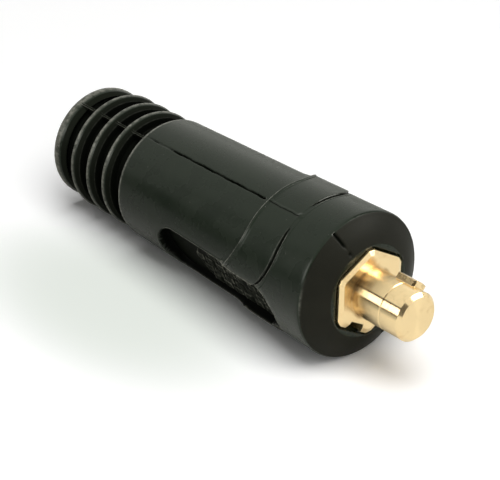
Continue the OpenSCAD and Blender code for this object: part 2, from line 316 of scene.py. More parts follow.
# %% [markdown]
# ## Front face, pocket and bore
# The rows go on over the rounded front edge and the domed face, down into the
# six-sided pocket of the brass collar, and back through the bore to the rear face.
# The grid then closes on itself. A skin that ends at the pocket would be less work,
# but a closed one is a solid with a real wall.

# %% Rows of the front and the inside
DOME_RISE, MOUTH_GAP, POCKET_GAP = 0.35, 0.65, 0.1
MOUTH_DEPTH, POCKET_FLOOR_Z = 1.6, 108.2
SHOULDER_R, BORE_END_Z = 8.9, 66.2


def pocket_radius(angle, gap):
    """Radius of the collar's six-sided pocket, with its corners turned round."""
    off_flat = np.mod(np.degrees(angle) - CONTACT_TURN, 60) - 30
    flat = (COLLAR_APOTHEM + gap) / np.cos(np.radians(off_flat))
    return np.minimum(COLLAR_R + gap, flat)


def face_rows():
    """The rounded front edge and the domed face as far as the pocket's land."""
    made = [row(z, r) for z, r in quarter_round(
        FRONT_Z - FRONT_EDGE_R, FRONT_R - FRONT_EDGE_R, FRONT_EDGE_R, 0, 68, 7)]
    z0, r0 = made[-1][0][0], made[-1][1][0]
    for t in np.linspace(0, 1, 15)[1:]:
        bulge = DOME_RISE * math.sin(math.pi * t)
        made.append(row(z0 + (SLEEVE_L - z0) * t + bulge, r0 + (LAND_R - r0) * t))
    return made


outer_rows += face_rows()
mouth, tight = pocket_radius(angles, MOUTH_GAP), pocket_radius(angles, POCKET_GAP)
mouth_rows = [row(SLEEVE_L, mouth + 0.2), row(SLEEVE_L - 0.12, mouth + 0.05),
              row(SLEEVE_L - 0.4, mouth), row(SLEEVE_L - MOUTH_DEPTH, mouth)]
pocket_rows = [row(SLEEVE_L - MOUTH_DEPTH, tight), row(POCKET_FLOOR_Z, tight)]
bore_rows = [row(z, r) for z, r in (
    (POCKET_FLOOR_Z, BORE_R), (102.3, BORE_R), (101.5, SHOULDER_R), (100.1, SHOULDER_R),
    (99.3, BORE_R), (BORE_END_Z, BORE_R), (BORE_END_Z - (BORE_R - CABLE_R), CABLE_R),
    (30, CABLE_R), (1, CABLE_R), (0.1, CABLE_R + 0.95))]
rows = outer_rows + mouth_rows + pocket_rows + bore_rows
height, radius, turned = (np.array([r[k] for r in rows]) for k in range(3))
outside = np.arange(len(rows))[:, None] < len(outer_rows)
print("rows:", len(rows), "quads:", len(rows) * len(angles))

# %% [markdown]
# ## Parting lines
# The mould halves met on +Y and -Y. They left thin webs across the grooves, a fine
# groove along the body, a raised line of flash over the band with a nub at its end,
# and a short groove on the domed face. They could be strips laid on the sleeve, but
# then they would float. Here each is a small change of radius or height, that wanders
# a little, as a real parting line does.

# %% Webs across the grooves
off_plane = radius * np.cos(turned)
web = smooth(WEB_HALF_T + 0.15, WEB_HALF_T - 0.1, np.abs(off_plane))
web = web * (height < RIBS_L) * outside
between_ribs = (radius < WEB_R) & (height > END_RING_W / 2)
radius = np.where(between_ribs, radius + (WEB_R - radius) * web, radius)
print("deepest web in mm:", round(float(WEB_R - GROOVE_R), 2))

# %% Groove, flash and nub on the body
LINE_DEPTH, LINE_W = 0.60, 0.27
FLASH_H, FLASH_W = 0.10, 0.30
NUB_H, NUB_Z, NUB_W, NUB_L = 0.31, 96.2, 0.75, 0.7

on_body = smooth(34.4, 36.0, height) * smooth(82.9, 82.3, height) * outside
on_band = smooth(84.2, 84.8, height) * smooth(96.4, 95.8, height) * outside
wander = 0.06 * np.sin(height * 0.9) + 0.04 * np.sin(height * 2.3 + 1)
uneven = 0.8 + 0.2 * np.sin(height * 0.55 + 0.6)
uneven = uneven * (0.5 + 0.5 * smooth(43, 48, height))
cut = ridge(off_plane - wander, LINE_W) * on_body * uneven
radius = radius - LINE_DEPTH * cut
radius = radius + FLASH_H * ridge(off_plane - wander, FLASH_W) * on_band
nub = ridge(off_plane, NUB_W) * ridge(height - NUB_Z, NUB_L) * outside
radius = radius + NUB_H * nub
print("deepest line in mm:", round(float(LINE_DEPTH * cut.max()), 2))

# %% Groove and dot on the face, gutter's floor
FACE_DEPTH, FACE_LINE_W = 0.60, 0.36
DOT_DEPTH, DOT_R, DOT_W = 0.40, 13.5, 0.5

on_face = (height > FRONT_Z - 0.6) & outside
face_cut = ridge(off_plane, FACE_LINE_W) * smooth(15.0, 16.2, radius)
face_cut = face_cut * smooth(20.0, 19.6, radius) * on_face
face_dot = ridge(off_plane, DOT_W) * ridge(radius - DOT_R, DOT_W) * on_face
height = height - FACE_DEPTH * face_cut - DOT_DEPTH * face_dot
gutter_floor = ridge(height - band_edges(turned)[1] - 0.25, 0.35)
gutter_floor = gutter_floor * smooth(0.14, 0.26, np.abs(np.cos(turned))) * outside
print("deepest face groove in mm:", round(float(FACE_DEPTH * face_cut.max()), 2))

# %% [markdown]
# ## Grip recesses
# A recess is pressed straight in along X, so its walls are not radial. A boolean cut
# would leave sharp edges and long thin faces. Here the grid's own points move along
# X, towards a sloping floor, by a mask that is 1 inside the rounded outline, and a
# low lip stands round it. Each floor carries a raised pad with rows of small plain
# blocks that give the thumb some grip. They stand in for the maker's marking, which
# has no place on this part.

# %% Floor, pad and blocks of the recesses
MOUTH_OFF_X, MOUTH_OFF_Y = 0.16, -0.33
PAD_OFF, PAD_HALF_L, PAD_R, PAD_H = 6.25, 17.0, 6.8, 0.5
LANE_W, BLOCK_PITCH, BLOCK_Z, BLOCK_H = 3.2, 4.2, 62.0, 0.40
MID_Z = (RECESS_Z0 + RECESS_Z1) / 2
RECESS_HALF_L = (RECESS_Z1 - RECESS_Z0) / 2
PAD_Z = MID_Z + PAD_OFF


def past_slot(y, z, mid, half_l, r):
    """Distance in mm from a slot's rounded outline, less than 0 inside it."""
    return np.hypot(y, np.maximum(np.abs(z - mid) - (half_l - r), 0)) - r


x, y, z = radius * np.cos(turned), radius * np.sin(turned), np.array(height)
# The contact doesn't sit quite in the middle of the pocket's mouth.
in_mouth = slice(len(outer_rows), len(outer_rows) + len(mouth_rows))
x[in_mouth] += MOUTH_OFF_X
y[in_mouth] += MOUTH_OFF_Y
floor_x = WAIST_R + (MID_Z - RIBS_L) * BODY_SLOPE - RECESS_H + (z - MID_Z) * BODY_SLOPE
to_pad = past_slot(y, z, PAD_Z, PAD_HALF_L, PAD_R)
lane = np.floor((y + 2 * LANE_W) / LANE_W)
off_lane = np.mod(y + 2 * LANE_W, LANE_W) - LANE_W / 2
off_block = np.mod(z - BLOCK_Z + BLOCK_PITCH / 2 * lane, BLOCK_PITCH) - BLOCK_PITCH / 2
blocks = smooth(1.30, 1.00, np.abs(off_lane)) * smooth(1.6, 1.25, np.abs(off_block))
# A block is kept only where its middle lies well on the pad.
to_middle = past_slot(LANE_W * (lane - 1.5), z - off_block, PAD_Z, PAD_HALF_L, PAD_R)
blocks = blocks * smooth(-1.3, -1.5, to_middle)
floor_x = floor_x + PAD_H * smooth(0.25, -0.25, to_pad) + BLOCK_H * blocks
print("recess floor in mm from the axis:",
      round(float(floor_x.min()), 2), "to", round(float(floor_x.max()), 2))

# %% Press the recesses into the grid
RIM_LIP_H, RIM_LIP_AT, RIM_LIP_W = 0.10, 0.5, 0.4
FAR_SIDES = 9

to_wall = past_slot(y, z, MID_Z, RECESS_HALF_L, RECESS_R)
at_sides = np.abs(x) > FAR_SIDES
pressed = smooth(0.1, -0.8, to_wall) * outside * at_sides
rim_lip = RIM_LIP_H * ridge(to_wall - RIM_LIP_AT, RIM_LIP_W) * outside * at_sides
x = x + np.sign(x) * ((floor_x - np.abs(x)) * pressed - rim_lip * smooth(0, 0.4, to_wall))
print("points in the recesses:", int((pressed > 0.5).sum()))

# %% [markdown]
# ## Where the skin is worn and highlit, shaded or dull
# Hands polish the crests of the moulding pale, and highlights are painted on them too,
# while its hollows stay dull and are darkened with painted shade.
# Such masks could be painted by hand. Here they are worked out from the same heights
# and radii that made the shape, so they sit exactly on it, and the mesh will carry
# them on its points for the materials.

# %% Worn edges and painted highlights
past_rib = np.mod(height - FIRST_RIB_Z, RIB_PITCH)
on_rib = (height > FIRST_RIB_Z - 0.01) & (height < 30) & (radius > GROOVE_R + 1.8)
# A painted highlight: a short pale streak on the front edge, near 146 degrees.
front_edge_highlight = ridge(height - FRONT_Z + 0.45, 0.3) * ridge(np.degrees(turned) - 146, 16)
# In turn: the end ring, the rear edge of each rib and the body's foot, pale from wear
# and from a painted highlight, and the painted highlight on the front edge.
wear_and_highlight = np.maximum.reduce([
    smooth(3.5, 2.6, height) * (radius > GROOVE_R),
    smooth(1.4, 0.8, past_rib) * on_rib,
    smooth(33.4, 32.9, height) * (height > RIBS_L - 0.01),
    0.5 * front_edge_highlight])
# Painted highlights: a pale line on the front part of each recess's rim, and pale edges on
# the blocks, partly wear.
rim_highlight = 0.9 * ridge(to_wall - 0.30, 0.36) * smooth(72, 78, z) * (np.abs(x) > FAR_SIDES)
on_pad = smooth(0.1, -0.3, to_pad)
pad_wear_and_highlight = 4.5 * blocks * (1 - blocks) * on_pad
print("worn points:", int((wear_and_highlight > 0.5).sum()))

# %% Painted shade in hollows, and dull places
# A painted shade beside the flash, on its side towards -X.
flash_shade = 0.7 * ridge(off_plane - wander + 0.32, 0.18) * on_band
grooves = np.clip(cut + face_cut + face_dot + 0.8 * gutter_floor + flash_shade, 0, 1)
ribbed = (height < RIBS_L - 0.01) & outside
at_ring = height < END_RING_W
below_rib = np.where(at_ring, END_RING_R - 0.2, RIB_R) - radius
deep = smooth(0.5, 1.5, below_rib)
# Painted shade on the ribs: darkest in the grooves, lighter on their tops.
rib_shade = np.where(at_ring, 0.4 * deep, 0.1 + 0.9 * deep)
rib_shade = ribbed * (1 - wear_and_highlight) * rib_shade * (height > 3)
# Painted shade: walls are darkest, a floor is less dark, and the tops of the blocks least.
walls = smooth(0.0, 0.3, pressed)
on_floor = smooth(-1.1, -2.6, to_wall)
lit = np.maximum(0.55 * on_floor * (1 - on_pad), (0.40 + 0.60 * blocks) * on_pad)
# Painted shade: grooves, the flash's side, recess walls and floors, and the ribs.
hollow_shade = np.clip(grooves + walls * (1 - lit) + 0.86 * rib_shade, 0, 1)
dull_here = (pressed > 0.04) | (grooves > 0.35) | ribbed & (wear_and_highlight < 0.5)
print("hollow points:", int((hollow_shade > 0.5).sum()), "dull points:", int(dull_here.sum()))

# %% [markdown]
# ## From the grid to a mesh
# Four neighbours in the grid make one face. How sharply the surface bends is measured
# on the grid as well, because the materials lighten the crests. A Geometry node's
# Pointiness could give that too, but it changes with the size of the faces, and this
# grid has fine and coarse ones. A point keeps the number as an attribute.

# %% Bend of the surface
def crest_of(points):
    """How sharply the surface bends outwards in 1 / mm, less where it faces the pin."""
    def bend(axis):
        ahead = np.roll(points, -1, axis) - points
        length = np.linalg.norm(ahead, axis=2, keepdims=True) + 1e-9
        tangent = ahead / length
        before = np.roll(tangent, 1, axis)
        step = (length + np.roll(length, 1, axis)) / 2
        return (tangent - before) / step, tangent + before
    curve_row, along_row = bend(0)
    curve_col, along_col = bend(1)
    normal = np.cross(along_col, along_row)
    normal /= np.linalg.norm(normal, axis=2, keepdims=True) + 1e-9
    bent = np.maximum(-(curve_row * normal).sum(2), -(curve_col * normal).sum(2))
    # Lowering the bend where the surface faces the pin paints a highlight on edges that
    # face the cable end.
    return bent * (0.25 + 0.75 * smooth(0.15, -0.35, normal[:, :, 2]))


points = np.stack([x, y, z], axis=2)
on_line = np.clip(on_body + on_face + 0.8 * on_band, 0, 1)
away_from_line = 1 - ridge(off_plane, 0.9) * on_line
crest_and_highlight = crest_of(points) * away_from_line
# Wear and painted highlights make these edges paler still.
crest_and_highlight = crest_and_highlight + (1.5 * wear_and_highlight + rim_highlight + pad_wear_and_highlight) * outside
print("sharpest bend:", round(float(crest_and_highlight.max()), 1))


# %% Build the sleeve
def grid_mesh(name, points):
    """A closed mesh from a grid that joins up in both directions."""
    n_rows, n_cols = points.shape[:2]
    index = np.arange(n_rows * n_cols).reshape(n_rows, n_cols)
    right, ahead = np.roll(index, -1, 1), np.roll(index, -1, 0)
    quads = np.stack([index, right, np.roll(right, -1, 0), ahead], axis=2).reshape(-1, 4)
    mesh = bpy.data.meshes.new(name)
    mesh.from_pydata((points.reshape(-1, 3) * MM).tolist(), [], quads.tolist())
    mesh.polygons.foreach_set("use_smooth", np.ones(len(quads), bool))
    mesh.update()
    return mesh


def keep_on_points(mesh, name, values):
    """Stores one number on each point of a mesh, for its materials."""
    attribute = mesh.attributes.new(name, "FLOAT", "POINT")
    attribute.data.foreach_set("value", values.astype(np.float32).ravel())


sleeve_mesh = grid_mesh("sleeve", points)
# The crest number carries the wear and the painted highlights as well.
keep_on_points(sleeve_mesh, "crest", crest_and_highlight)
keep_on_points(sleeve_mesh, "hollow_shade", hollow_shade)
sleeve = bpy.data.objects.new("rubber_sleeve", sleeve_mesh)
bpy.context.scene.collection.objects.link(sleeve)
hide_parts("insulating_sleeve")
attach(sleeve, "root")
print("sleeve faces:", len(sleeve_mesh.polygons))

# %% [markdown]
# ## Shared effects
# Rubber and metal are built from a few effects: a moulded grain, worn edges with a
# painted highlight, and the marks and stains of turned metal. The nodes could be copied
# into each material. A node group is built once instead and placed in every material
# that needs it, with that material's own values. A few helpers keep the node code short.


# %% Helpers for node groups
def new_group(name, inputs, outputs):
    """An empty shader node group with named sockets, and its two ends."""
    group = bpy.data.node_groups.new(name, "ShaderNodeTree")
    for socket, kind, value in inputs:
        made = group.interface.new_socket(socket, in_out="INPUT", socket_type=kind)
        if kind == "NodeSocketFloat":
            made.default_value = value
    for socket in outputs:
        group.interface.new_socket(socket, in_out="OUTPUT", socket_type="NodeSocketFloat")
    return group, group.nodes.new("NodeGroupInput"), group.nodes.new("NodeGroupOutput")


def math_node(tree, operation, a, b=None, c=None):
    """A Math node whose inputs are sockets or numbers; returns its output."""
    node = tree.nodes.new("ShaderNodeMath")
    node.operation = operation
    for socket, value in zip(node.inputs, (a, b, c)):
        if isinstance(value, bpy.types.NodeSocket):
            tree.links.new(value, socket)
        elif value is not None:
            socket.default_value = value
    return node.outputs[0]


print("helpers for groups and numbers ready")


# %% Helpers for noise, spreading and distance
def noise(tree, vector, scale, detail=3.0, roughness=0.5):
    """A Noise Texture's value at a vector."""
    node = tree.nodes.new("ShaderNodeTexNoise")
    node.inputs["Detail"].default_value = detail
    node.inputs["Roughness"].default_value = roughness
    tree.links.new(vector, node.inputs["Vector"])
    if isinstance(scale, bpy.types.NodeSocket):
        tree.links.new(scale, node.inputs["Scale"])
    else:
        node.inputs["Scale"].default_value = scale
    return node.outputs["Fac"]


def spread(tree, value, low, high, to_low=0.0, to_high=1.0):
    """A Map Range node, smooth between low and high."""
    node = tree.nodes.new("ShaderNodeMapRange")
    node.interpolation_type = "SMOOTHSTEP"
    tree.links.new(value, node.inputs["Value"])
    for name, number in (("From Min", low), ("From Max", high),
                         ("To Min", to_low), ("To Max", to_high)):
        node.inputs[name].default_value = number
    return node.outputs["Result"]


def from_axis(tree, split):
    """Distance from the plug's axis, from a Separate XYZ node."""
    xx = math_node(tree, "MULTIPLY", split.outputs["X"], split.outputs["X"])
    yy = math_node(tree, "MULTIPLY", split.outputs["Y"], split.outputs["Y"])
    return math_node(tree, "SQRT", math_node(tree, "ADD", xx, yy))


print("helpers for noise, spreading and distance ready")

# %% [markdown]
# ## Moulded grain
# The steel of a mould leaves a fine grain on rubber, and the tone drifts a little in
# broad patches. A photograph of rubber could be wrapped round the sleeve, but it would
# need a UV map. Noise reads the place on the piece instead: one for the height of the
# grain, and one that is 24 times broader for the mottle.

# %% Group: moulded grain
MOTTLE_BREADTH = 24.0
grain_group, ends_in, ends_out = new_group(
    "moulded_grain",
    [("Vector", "NodeSocketVector", None), ("Scale", "NodeSocketFloat", 2200.0)],
    ["Height", "Mottle"])
fine = noise(grain_group, ends_in.outputs["Vector"], ends_in.outputs["Scale"], 4.0, 0.6)
broad_scale = math_node(grain_group, "DIVIDE", ends_in.outputs["Scale"], MOTTLE_BREADTH)
broad = noise(grain_group, ends_in.outputs["Vector"], broad_scale, 3.0, 0.55)
grain_group.links.new(fine, ends_out.inputs["Height"])
grain_group.links.new(spread(grain_group, broad, 0.15, 0.85), ends_out.inputs["Mottle"])
print("moulded_grain:", [s.name for s in grain_group.interface.items_tree])

# %% [markdown]
# ## Edge wear and painted highlight
# Edges turn pale where hands and floors rub them, and never evenly, and paler still
# where a highlight is painted on them. The group takes the bend that each point carries,
# with those painted highlights in it, turns it into a mask, and breaks that up with
# noise. Painting the wear would look as good, but would have to be done again after
# each change of shape.

# %% Group: edge wear and painted highlight
wear_and_highlight_group, ends_in, ends_out = new_group(
    "edge_wear_and_highlight",
    [("Vector", "NodeSocketVector", None), ("Crest", "NodeSocketFloat", 0.0),
     ("Breakup Scale", "NodeSocketFloat", 500.0)],
    ["Mask"])
patchy = noise(wear_and_highlight_group, ends_in.outputs["Vector"], ends_in.outputs["Breakup Scale"],
               5.0, 0.6)
edge = spread(wear_and_highlight_group, ends_in.outputs["Crest"], 0.25, 1.6)
patches = spread(wear_and_highlight_group, patchy, 0.35, 0.65, 0.25, 1.0)
wear_and_highlight_group.links.new(math_node(wear_and_highlight_group, "MULTIPLY", edge, patches),
                     ends_out.inputs["Mask"])
print("edge_wear_and_highlight:", [s.name for s in wear_and_highlight_group.interface.items_tree])

# %% [markdown]
# ## Turning marks and tarnish
# A lathe leaves fine rings round the axis, on the cylinders and on the faces alike,
# and air leaves stains. Noise that reads the distance from the axis and the height is
# the same all round, so it makes rings. A Wave Texture would make them too, but too
# evenly. Two plain noises of different breadth make the tarnish.

# %% Group: turning marks
turning_group, ends_in, ends_out = new_group(
    "turning_marks",
    [("Vector", "NodeSocketVector", None), ("Pitch Scale", "NodeSocketFloat", 9000.0)],
    ["Height", "Tarnish"])
split = turning_group.nodes.new("ShaderNodeSeparateXYZ")
turning_group.links.new(ends_in.outputs["Vector"], split.inputs[0])
joined = turning_group.nodes.new("ShaderNodeCombineXYZ")
turning_group.links.new(from_axis(turning_group, split), joined.inputs["X"])
turning_group.links.new(split.outputs["Z"], joined.inputs["Y"])
rings = noise(turning_group, joined.outputs[0], ends_in.outputs["Pitch Scale"], 2.0, 0.6)
turning_group.links.new(rings, ends_out.inputs["Height"])
stain_a = noise(turning_group, ends_in.outputs["Vector"], 260.0, 5.0, 0.62)
stain_b = noise(turning_group, ends_in.outputs["Vector"], 900.0, 3.0, 0.6)
stain = math_node(turning_group, "ADD",
                  math_node(turning_group, "MULTIPLY", stain_a, 0.75),
                  math_node(turning_group, "MULTIPLY", stain_b, 0.25))
turning_group.links.new(spread(turning_group, stain, 0.5, 0.80), ends_out.inputs["Tarnish"])
print("turning_marks:", [s.name for s in turning_group.interface.items_tree])

# %% [markdown]
# ## Materials
# Each finish is a material of its own, with its Principled shader in it. The groups
# only feed colours, masks and heights to that shader, so the look of a piece can be
# read in one place. A few more helpers set up a material, place a group in it, mix
# two colours, turn a height into a bump of a real depth, and read a number that the
# mesh carries.


# %% Helpers for materials
def new_material(name):
    """A material with its Principled shader and object coordinates."""
    material = bpy.data.materials.new(name)
    material.use_nodes = True
    tree = material.node_tree
    shader = tree.nodes["Principled BSDF"]
    place = tree.nodes.new("ShaderNodeTexCoord").outputs["Object"]
    return material, tree, shader, place


def use_group(tree, group, vector, **values):
    """Places a node group in a material, with its own values."""
    node = tree.nodes.new("ShaderNodeGroup")
    node.node_tree = group
    tree.links.new(vector, node.inputs["Vector"])
    for name, value in values.items():
        node.inputs[name.replace("_", " ")].default_value = value
    return node


print("helpers for materials ready")


# %% Helpers for colours, bumps and the mesh's own numbers
def mix_colour(tree, mask, first, second):
    """Mixes two colours, which are values or sockets, by a mask."""
    # Of its many sockets, a colour mix uses inputs 6 and 7 and output 2.
    node = tree.nodes.new("ShaderNodeMix")
    node.data_type = "RGBA"
    tree.links.new(mask, node.inputs["Factor"])
    for socket, colour in ((node.inputs[6], first), (node.inputs[7], second)):
        if isinstance(colour, bpy.types.NodeSocket):
            tree.links.new(colour, socket)
        else:
            socket.default_value = (*colour, 1.0)
    return node.outputs[2]


def bump(tree, height, distance, strength, normal=None):
    """A Bump node of a real depth in metres."""
    node = tree.nodes.new("ShaderNodeBump")
    node.inputs["Distance"].default_value = distance
    node.inputs["Strength"].default_value = strength
    tree.links.new(height, node.inputs["Height"])
    if normal is not None:
        tree.links.new(normal, node.inputs["Normal"])
    return node.outputs["Normal"]


def mesh_value(tree, name):
    """A number that the mesh carries on each point."""
    node = tree.nodes.new("ShaderNodeAttribute")
    node.attribute_name = name
    return node.outputs["Fac"]


print("helpers for colours and bumps ready")

# %% [markdown]
# ## The black rubber
# Moulded rubber is almost black, with a satin skin that shows its surroundings at a
# grazing angle. One flat black would look like plastic, and a stronger shine like
# paint. Its colour hardly varies, so the life comes from the skin: a fine grain in
# the bump, a mottled roughness, a few pale specks, paler crests from wear and a painted
# highlight, and painted shade in the hollows.

# %% Moulded rubber skin
SKIN_DARK, SKIN_LIGHT = (0.0088, 0.0138, 0.0082), (0.0123, 0.0182, 0.0110)
# Worn colour: pale edges from wear and painted highlights.
SPECK_COLOUR, WEAR_AND_HIGHLIGHT_COLOUR = (0.060, 0.060, 0.052), (0.195, 0.195, 0.165)
# Hollow colour: the painted shade of grooves and recesses.
HOLLOW_SHADE_COLOUR = (0.0015, 0.0018, 0.0014)
SKIN_ROUGHNESS, SKIN_SPECULAR = (0.25, 0.30), 0.2
SKIN_GRAIN, WEAR_AND_HIGHLIGHT_BREAKUP, SPECKS = 3200.0, 900.0, 1500.0
SKIN_GRAIN_DEPTH = 0.00003

rubber, tree, shader, place = new_material("moulded_black_rubber")
grain = use_group(tree, grain_group, place, Scale=SKIN_GRAIN)
wear_and_highlight_mask = use_group(tree, wear_and_highlight_group, place, Breakup_Scale=WEAR_AND_HIGHLIGHT_BREAKUP)
tree.links.new(mesh_value(tree, "crest"), wear_and_highlight_mask.inputs["Crest"])
specks = spread(tree, noise(tree, place, SPECKS, 2.0, 0.7), 0.70, 0.76)
skin = mix_colour(tree, grain.outputs["Mottle"], SKIN_DARK, SKIN_LIGHT)
skin = mix_colour(tree, specks, skin, SPECK_COLOUR)
skin = mix_colour(tree, wear_and_highlight_mask.outputs["Mask"], skin, WEAR_AND_HIGHLIGHT_COLOUR)
skin = mix_colour(tree, mesh_value(tree, "hollow_shade"), skin, HOLLOW_SHADE_COLOUR)
tree.links.new(skin, shader.inputs["Base Color"])
tree.links.new(spread(tree, grain.outputs["Mottle"], 0.0, 1.0, *SKIN_ROUGHNESS),
               shader.inputs["Roughness"])
tree.links.new(bump(tree, grain.outputs["Height"], SKIN_GRAIN_DEPTH, 0.55),
               shader.inputs["Normal"])
shader.inputs["Specular IOR Level"].default_value = SKIN_SPECULAR
sleeve.data.materials.append(rubber)
print("rubber nodes:", len(tree.nodes))

# %% [markdown]
# ## Dull and matt rubber
# The grooves, the ribs and the recesses come out of the mould dull, and the domed end
# face was etched matt in the mould. Both are the same rubber with next to no shine.
# A specular level can't be driven by a mask, because the export drops a linked one,
# so each is a material, and each face of the sleeve gets its own by where it lies.

# %% Dull rubber of the hollows and matt rubber of the end face
# Pale edges of the dull rubber, from wear and painted highlights.
DULL_WEAR_AND_HIGHLIGHT_COLOUR, DULL_ROUGHNESS = (0.150, 0.152, 0.128), (0.42, 0.55)
DULL_GRAIN_DEPTH = 0.00004


def dull_finish(name, dark, light, hollow_shade_colour, grain_scale, specular):
    """A rubber skin with little shine, with painted shade in hollows, pale where worn or
    highlit.
    """
    material, tree, shader, place = new_material(name)
    grain = use_group(tree, grain_group, place, Scale=grain_scale)
    wear_and_highlight_mask = use_group(tree, wear_and_highlight_group, place, Breakup_Scale=WEAR_AND_HIGHLIGHT_BREAKUP)
    tree.links.new(mesh_value(tree, "crest"), wear_and_highlight_mask.inputs["Crest"])
    skin = mix_colour(tree, grain.outputs["Mottle"], dark, light)
    skin = mix_colour(tree, mesh_value(tree, "hollow_shade"), skin, hollow_shade_colour)
    skin = mix_colour(tree, wear_and_highlight_mask.outputs["Mask"], skin, DULL_WEAR_AND_HIGHLIGHT_COLOUR)
    tree.links.new(skin, shader.inputs["Base Color"])
    tree.links.new(spread(tree, grain.outputs["Mottle"], 0.0, 1.0, *DULL_ROUGHNESS),
                   shader.inputs["Roughness"])
    tree.links.new(bump(tree, grain.outputs["Height"], DULL_GRAIN_DEPTH, 0.6),
                   shader.inputs["Normal"])
    shader.inputs["Specular IOR Level"].default_value = specular
    return material


# The dull rubber is darker than the skin: painted shade on the grooves, ribs and recesses.
dull_rubber = dull_finish(
    "dull_black_rubber", dark=(0.0070, 0.0085, 0.0057), light=(0.0100, 0.0118, 0.0080),
    hollow_shade_colour=(0.0018, 0.0022, 0.0016), grain_scale=2400.0, specular=0.015)
matt_rubber = dull_finish(
    "matt_black_rubber", dark=(0.0110, 0.0110, 0.0080), light=(0.0152, 0.0152, 0.0110),
    hollow_shade_colour=(0.0008, 0.0010, 0.0007), grain_scale=2800.0, specular=0.06)
sleeve.data.materials.append(dull_rubber)
sleeve.data.materials.append(matt_rubber)
print("finishes of the sleeve:", [m.name for m in sleeve.data.materials])


# %% Faces of each finish
def whole_faces(picked):
    """The faces of the grid whose four points are all picked."""
    pairs = picked & np.roll(picked, -1, 1)
    return pairs & np.roll(pairs, -1, 0)


dull_faces = whole_faces(dull_here)
matt_faces = whole_faces((height > FRONT_Z - 0.5) & outside)
finish = np.where(dull_faces, 1, np.where(matt_faces, 2, 0))
sleeve.data.polygons.foreach_set("material_index", finish.ravel().astype(np.int32))
print("dull faces:", int(dull_faces.sum()), "matt faces:", int(matt_faces.sum()))

# %% [markdown]
# ## The metals
# The contact is turned from a bar, so its marks run round the axis on the cylinder
# and in rings on the faces. They also stretch each highlight across the marks, which
# the shader's anisotropy does, turned by a Tangent node that runs round Z. The CAD
# mesh has sharp edges and stays as it is, so a Bevel node rounds them in the shading.
# The copper ferrule and the zinc-plated screws are made the same way, and duller.

# %% Turned and polished metals
MARKS_SCALE, MARK_DEPTH = 9000.0, 0.000004
ACROSS_MARKS = 0.25


def metal(name, colour, stained, roughness, edge_radius, brushed=0.0):
    """A turned and polished metal, with tarnish, turning marks and softened edges."""
    material, tree, shader, place = new_material(name)
    lathe = use_group(tree, turning_group, place, Pitch_Scale=MARKS_SCALE)
    tree.links.new(mix_colour(tree, lathe.outputs["Tarnish"], colour, stained),
                   shader.inputs["Base Color"])
    tree.links.new(spread(tree, lathe.outputs["Tarnish"], 0.0, 1.0, *roughness),
                   shader.inputs["Roughness"])
    soft = tree.nodes.new("ShaderNodeBevel")
    soft.samples = 6
    soft.inputs["Radius"].default_value = edge_radius
    shader.inputs["Metallic"].default_value = 1.0
    if brushed:
        shader.inputs["Anisotropic"].default_value = brushed
        shader.inputs["Anisotropic Rotation"].default_value = ACROSS_MARKS
        around = tree.nodes.new("ShaderNodeTangent")
        around.direction_type, around.axis = "RADIAL", "Z"
        tree.links.new(around.outputs[0], shader.inputs["Tangent"])
    tree.links.new(bump(tree, lathe.outputs["Height"], MARK_DEPTH, 0.5, soft.outputs[0]),
                   shader.inputs["Normal"])
    return material


brass = metal("polished_turned_brass", (0.90, 0.695, 0.40), (0.70, 0.49, 0.26),
              (0.21, 0.29), edge_radius=0.00018, brushed=0.93)
copper = metal("drawn_copper", (0.78, 0.42, 0.28), (0.40, 0.20, 0.13),
               (0.25, 0.45), edge_radius=0.0001)
zinc = metal("zinc_plated_steel", (0.60, 0.61, 0.62), (0.42, 0.43, 0.45),
             (0.28, 0.42), edge_radius=0.0001)
print("metals:", brass.name, copper.name, zinc.name)


# %% Metals on the CAD nodes
def finish_node(node, material):
    """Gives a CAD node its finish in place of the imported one."""
    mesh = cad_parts[node].data
    mesh.materials.clear()
    mesh.materials.append(material)


for node, material in (("contact_body", brass), ("wire_ferrule", copper),
                       ("clamp_screw_front", zinc), ("clamp_screw_rear", zinc)):
    finish_node(node, material)
    print(node, "is", material.name)

# %% [markdown]
# ## Painted shade at the pin's root, and brown patches on its lug
# The corner where the pin's root meets the collar is darkened with painted shade, and
# the sides of its lug get brown patches. Vertex colours could mark them, but the CAD
# mesh is left alone. The two places are picked out by their distance from the axis
# and their height instead, and a noise breaks them up.

# %% Painted shade at the pin's root and brown patches on its lug
ROOT_SHADE_AND_LUG_COLOUR = (0.30, 0.17, 0.06)
ROOT_UNDER_Z, ROOT_WITHIN_R = (0.1185, 0.1155), (0.0074, 0.0066)
LUG_OUTSIDE_R, LUG_ABOVE_Z = (0.0067, 0.0071), (0.1165, 0.1170)

tree, shader = brass.node_tree, brass.node_tree.nodes["Principled BSDF"]
place = tree.nodes["Texture Coordinate"].outputs["Object"]
split = tree.nodes.new("ShaderNodeSeparateXYZ")
tree.links.new(place, split.inputs[0])
off_axis = from_axis(tree, split)
at_root = math_node(tree, "MULTIPLY", spread(tree, split.outputs["Z"], *ROOT_UNDER_Z),
                    spread(tree, off_axis, *ROOT_WITHIN_R))
on_lug = math_node(tree, "MULTIPLY", spread(tree, off_axis, *LUG_OUTSIDE_R),
                   spread(tree, split.outputs["Z"], *LUG_ABOVE_Z))
root_patches = spread(tree, noise(tree, place, 350.0, 4.0), 0.35, 0.6, 0.2, 0.75)
lug_patches = spread(tree, noise(tree, place, 1100.0, 3.0), 0.48, 0.62, 0.0, 0.4)
